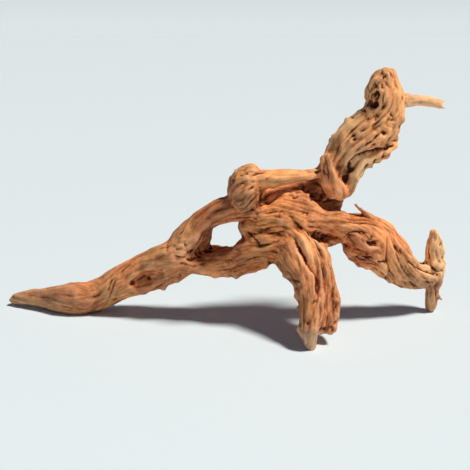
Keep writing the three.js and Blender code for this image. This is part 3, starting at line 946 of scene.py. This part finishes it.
def grain_field():
    """The fibre direction on a grid over the root's box, as the grid's first corner and its values:
    the mean of the grain lines' directions, near ones weighing most, with a slow spiral round them and
    a little wandering. Marks turn it their way, and knots turn it round them. Cells far from the skin
    are left out."""
    anchors, directions = [np.concatenate(part) for part in
                           zip(*(along_line(line, GRAIN_STEP) for line in grain_lines))]
    lines = [along_line(places, MARK_STEP) for *_, places in marks if len(places) > 2]
    mark_points, mark_directions = [np.concatenate(part) for part in zip(*lines)]
    counts = np.ceil((np.array(cad_high) - cad_low) / GRAIN_CELL).astype(int) + 5
    origin = np.array(cad_low) - 2 * GRAIN_CELL
    used = np.zeros(counts, bool)
    x, y, z = np.floor((skin.points - origin) / GRAIN_CELL).astype(int).T
    for shift in np.ndindex(4, 4, 4):
        used[x + shift[0] - 1, y + shift[1] - 1, z + shift[2] - 1] = True
    cells = origin + GRAIN_CELL * np.argwhere(used)
    field = np.empty_like(cells)
    for start in range(0, len(cells), CELLS_AT_ONCE):
        block = cells[start:start + CELLS_AT_ONCE]
        offset = block[:, None, :] - anchors
        squared = (offset ** 2).sum(axis=2)
        weight = np.exp(-(squared - squared.min(axis=1, keepdims=True)) / (2 * GRAIN_SPREAD ** 2))
        weight /= weight.sum(axis=1, keepdims=True)
        flow = weight @ directions
        outward = (weight[:, :, None] * offset).sum(axis=1)
        flow += SPIRAL * np.cross(flow, outward / LIMB_RADIUS)
        squared = ((block[:, None, :] - mark_points) ** 2).sum(axis=2)
        weight = np.exp(-squared / (2 * MARK_SPREAD ** 2))
        weight *= np.sign(flow @ mark_directions.T)
        weight /= np.maximum(np.abs(weight).sum(axis=1, keepdims=True), LEAST_WEIGHT)
        field[start:start + CELLS_AT_ONCE] = flow + MARK_PULL * (weight @ mark_directions)
    field += WANDER * np.stack([soft_noise(cells, WANDER_SIZE, seed) for seed in (21, 22, 23)], axis=1)
    for radius, at in knots:
        offset = cells - place(at)
        distance = np.linalg.norm(offset, axis=1, keepdims=True)
        swirl = np.cross(SWIRL_AXIS, offset) / np.maximum(distance, MM)
        field += SWIRL * swirl * np.exp(-(distance / (radius * MM)) ** 2)
    grid = np.zeros((*counts, 3))
    grid[used] = field
    return origin, grid


def interpolated(grid, positions):
    """Values of a grid at positions counted in cells: a blend of the eight corners of each cell."""
    limit = np.array(grid.shape[:3]) - 2
    base = np.clip(np.floor(positions).astype(int), 0, limit)
    share = np.clip(positions - base, 0, 1)
    total = 0
    for corner in np.ndindex(2, 2, 2):
        weight = np.prod(np.where(corner, share, 1 - share), axis=1)
        x, y, z = (base + corner).T
        total = total + weight[:, None] * grid[x, y, z]
    return total


field_origin, fibre_field = grain_field()


def fibre_direction(points):
    """The unit fibre direction at points."""
    flow = interpolated(fibre_field, (points - field_origin) / GRAIN_CELL)
    return flow / np.maximum(np.linalg.norm(flow, axis=1, keepdims=True), 1e-9)


def along_fibres(points, layers):
    """Noise smeared along the fibres. Each layer is (lump size, reach, seed), in mm, and becomes the
    mean of its lumps along the fibre through each point, with a spread of one."""
    totals = [soft_noise(points, cell * MM, seed) for cell, _, seed in layers]
    furthest = max(reach for _, reach, _ in layers) * MM
    for way in (-1, 1):
        walker = points.copy()
        for step in range(1, round(furthest / FIBRE_STEP) + 1):
            walker += way * FIBRE_STEP * fibre_direction(walker)
            for index, (cell, reach, seed) in enumerate(layers):
                if step * FIBRE_STEP <= reach * MM:
                    totals[index] += soft_noise(walker, cell * MM, seed)
    return [(total - total.mean()) / total.std() for total in totals]


def blended(points, values):
    """Values of the tints at points: each tint weighs e to the minus (distance / reach) squared."""
    weights = np.full((len(points), 1), 1e-9)
    total = 1e-9 * values.mean(axis=0)
    for (reach, _, _, at), value in zip(tints, values):
        weight = np.exp(-((points - place(at)) ** 2).sum(axis=1, keepdims=True) / (reach * MM) ** 2)
        total = total + weight * value
        weights += weight
    return total / weights


normals = skin.softened(skin.normals(), 2)
folds, strands, fibres, hairs = along_fibres(skin.points, FIBRE_LAYERS)
furrow = blended(skin.points, np.array([[share] for _, _, share, _ in tints]))[:, 0]
lumps = soft_noise(skin.points, 15 * MM, 5) + 0.8 * soft_noise(skin.points, 7 * MM, 6)

# The furrows are deep in places, and nearly worn away in others.
furrowed = furrow * (1 + 0.7 * soft_noise(skin.points, 12 * MM, 7))

# Cracks open in patches, where a groove between strands and one between fibres coincide.
crack_zone = np.clip(soft_noise(skin.points, 11 * MM, 8) * 1.6 + 0.25, 0, 1) * np.clip(1.3 * furrow, 0, 1)
cracks = crack_zone * np.clip(-0.8 * strands - 0.5 * fibres - 1.2, 0, 1)

# Where the wood is soft it has crumbled, and the deepest places between the crumbs are pits.
softness = np.zeros(len(skin.points))
for reach, at in crumbles:
    softness += np.exp(-((skin.points - place(at)) ** 2).sum(axis=1) / (reach * MM) ** 2)
softness = np.minimum(softness, 1) * (0.8 + 0.4 * soft_noise(skin.points, 5 * MM, 12))
crumbs = soft_noise(skin.points, 3.2 * MM, 13) + 0.7 * soft_noise(skin.points, 1.9 * MM, 14)
pits = np.clip(-crumbs - 0.2, 0, 1)

mark_heights, mark_painted_shade = marked(skin.points, broad=False)
relief = (LUMP_HEIGHT * lumps + furrowed * (FOLD_HEIGHT * folds + STRAND_HEIGHT * strands)
          + (0.15 + 0.85 * furrow) * (FIBRE_HEIGHT * fibres + HAIR_HEIGHT * hairs)
          + softness * (CRUMB_HEIGHT * crumbs - PIT_DEPTH * pits) - CRACK_DEPTH * cracks + mark_heights)
skin.points += relief[:, None] * MM * normals
skin.points[:, 2] = np.maximum(skin.points[:, 2], 0)

# ---------------------------------------------------------------------------------------------
# The finish. Dry, unsealed wood that water and sun have bleached: matt and warm brown, with darker and
# paler fibres side by side. Its ridges are paler, from wear and a painted highlight, and its hollows get
# red-brown painted shade.

STREAK_SHADE = (0.57, 1.63)
STAIN_COLOUR = "#8c5230"
STAIN_SHARE = 0.6
# Painted shade: red-brown in the hollows, cracks and pits, and nearly black in the deepest of them.
PAINTED_SHADE_COLOUR = "#843c18"
DEEP_SHADE_COLOUR = "#35130a"
DEEP_SHADE_START = 0.45
DEEP_SHADE_SHARE = 0.85
# Raised places turn paler: partly real wear, partly a painted highlight on the ridges.
WORN_HIGHLIGHT_COLOUR = "#f8c898"
WORN_HIGHLIGHT_SHARE = 0.38
WOOD_ROUGHNESS = 0.85
WORN_ROUGHNESS = 0.6
CLOSE_ROUNDS = 6
BROAD_ROUNDS = 60

# Real dust and pores are a few tenths of a millimetre, and are drawn as coarse as they need to show.
SPECK_SIZE = 1.111 * MM
SPECK_SHADE = (0.82, 1.18)
SPECK_DEPTH = 0.7 * MM

# How far, in mm, each point stands out of the wood close round it, and out of a wider stretch of it.
# Low, marked, cracked and pitted places get painted shade, and what stands out gets wear and a painted
# highlight.
rise = ((skin.points - skin.softened(skin.points, CLOSE_ROUNDS)) * normals).sum(axis=1) / MM
broad_rise = ((skin.points - skin.softened(skin.points, BROAD_ROUNDS)) * normals).sum(axis=1) / MM
# Painted shade, strongest where the surface is lowest, in the marks, the cracks and the pits.
painted_shade = np.clip(-1.9 * rise - 0.25 * broad_rise + 0.45 * mark_painted_shade + 0.5 * cracks
                 + 0.4 * softness * pits - 0.1, 0, 1)
# What stands out is paler: partly wear, partly a painted highlight on the ridges.
wear_and_highlight = np.clip(2.0 * rise + 0.3 * broad_rise, 0, 1)

# Each fibre is a little lighter or darker than the next, and stains lie across them in patches.
streak = 0.5 + (0.5 + 0.5 * furrow) * (0.06 * folds + 0.09 * strands + 0.16 * fibres + 0.17 * hairs)
stain = np.clip(0.1 + 0.8 * soft_noise(skin.points, 8 * MM, 9)
                + 0.6 * soft_noise(skin.points, 3.5 * MM, 10), 0, 1)
wood_colour = blended(skin.points, np.array([linear(colour)[:3] for _, colour, _, _ in tints]))
wood_colour = np.concatenate([wood_colour, np.ones((len(wood_colour), 1))], axis=1)

# Bare hardwood, bleached and never oiled or sealed. It is matt, and a little smoother where it is
# worn. Its colour changes with its fibres, dust and stains, with painted shade in its hollows, and with
# wear and a painted highlight on its ridges.
bleached_wood = bpy.data.materials.new("dry_bleached_wood")
bleached_wood.use_nodes = True
tree = bleached_wood.node_tree
tree.nodes.clear()
surface = {name: add_node(tree, "ShaderNodeAttribute", {"attribute_name": name})
           for name in ("wood_colour", "streak", "painted_shade", "wear_and_highlight", "stain")}
streak_shade = add_node(tree, "ShaderNodeMapRange",
                        inputs={"To Min": STREAK_SHADE[0], "To Max": STREAK_SHADE[1]},
                        links={"Value": (surface["streak"], "Fac")})
streaked = add_node(tree, "ShaderNodeMix", {"data_type": "RGBA", "blend_type": "MULTIPLY"},
                    {MIX_SHARE: 1.0},
                    {MIX_FIRST: (surface["wood_colour"], "Color"), MIX_SECOND: (streak_shade, "Result")})
place_on_root = add_node(tree, "ShaderNodeTexCoord")
specks = add_node(tree, "ShaderNodeTexNoise",
                  inputs={"Scale": 1 / SPECK_SIZE, "Detail": 3.0, "Roughness": 0.6},
                  links={"Vector": (place_on_root, "Object")})
speck_shade = add_node(tree, "ShaderNodeMapRange",
                       inputs={"From Min": 0.3, "From Max": 0.7,
                               "To Min": SPECK_SHADE[0], "To Max": SPECK_SHADE[1]},
                       links={"Value": (specks, "Fac")})
speckled = add_node(tree, "ShaderNodeMix", {"data_type": "RGBA", "blend_type": "MULTIPLY"},
                    {MIX_SHARE: 1.0},
                    {MIX_FIRST: (streaked, MIX_RESULT), MIX_SECOND: (speck_shade, "Result")})
stain_share = add_node(tree, "ShaderNodeMapRange", inputs={"To Max": STAIN_SHARE},
                       links={"Value": (surface["stain"], "Fac")})
stained = add_node(tree, "ShaderNodeMix", {"data_type": "RGBA"}, {MIX_SECOND: linear(STAIN_COLOUR)},
                   {MIX_SHARE: (stain_share, "Result"), MIX_FIRST: (speckled, MIX_RESULT)})
# Painted shade: the wood turns red-brown, then nearly black, in its hollows, cracks and pits.
shade_painted = add_node(tree, "ShaderNodeMix", {"data_type": "RGBA"}, {MIX_SECOND: linear(PAINTED_SHADE_COLOUR)},
                    {MIX_SHARE: (surface["painted_shade"], "Fac"), MIX_FIRST: (stained, MIX_RESULT)})
deep_shade_share = add_node(tree, "ShaderNodeMapRange", inputs={"From Min": DEEP_SHADE_START, "To Max": DEEP_SHADE_SHARE},
                      links={"Value": (surface["painted_shade"], "Fac")})
deep_shade_painted = add_node(tree, "ShaderNodeMix", {"data_type": "RGBA"}, {MIX_SECOND: linear(DEEP_SHADE_COLOUR)},
                    {MIX_SHARE: (deep_shade_share, "Result"), MIX_FIRST: (shade_painted, MIX_RESULT)})
# Ridges turn paler, as wear and as a painted highlight; the same mask makes them a little smoother.
wear_highlight_share = add_node(tree, "ShaderNodeMapRange", inputs={"To Max": WORN_HIGHLIGHT_SHARE},
                      links={"Value": (surface["wear_and_highlight"], "Fac")})
worn_and_lit = add_node(tree, "ShaderNodeMix", {"data_type": "RGBA"}, {MIX_SECOND: linear(WORN_HIGHLIGHT_COLOUR)},
                {MIX_SHARE: (wear_highlight_share, "Result"), MIX_FIRST: (deep_shade_painted, MIX_RESULT)})
roughness = add_node(tree, "ShaderNodeMapRange",
                     inputs={"To Min": WOOD_ROUGHNESS, "To Max": WORN_ROUGHNESS},
                     links={"Value": (surface["wear_and_highlight"], "Fac")})
bump = add_node(tree, "ShaderNodeBump", inputs={"Strength": 0.9, "Distance": SPECK_DEPTH},
                links={"Height": (specks, "Fac")})
shader = add_node(tree, "ShaderNodeBsdfPrincipled", inputs={"Specular IOR Level": 0.3},
                  links={"Base Color": (worn_and_lit, MIX_RESULT), "Roughness": (roughness, "Result"),
                         "Normal": (bump, "Normal")})
add_node(tree, "ShaderNodeOutputMaterial", links={"Surface": (shader, "BSDF")})

root = make_piece("root_wood", skin.points.tolist(), skin.faces(), bleached_wood)
for name, values in (("streak", streak), ("painted_shade", painted_shade), ("wear_and_highlight", wear_and_highlight), ("stain", stain)):
    attribute = root.data.attributes.new(name, "FLOAT", "POINT")
    attribute.data.foreach_set("value", values.astype(np.float32))
attribute = root.data.attributes.new("wood_colour", "FLOAT_COLOR", "POINT")
attribute.data.foreach_set("color", wood_colour.astype(np.float32).ravel())

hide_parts("dry_root")
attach(root, "root")
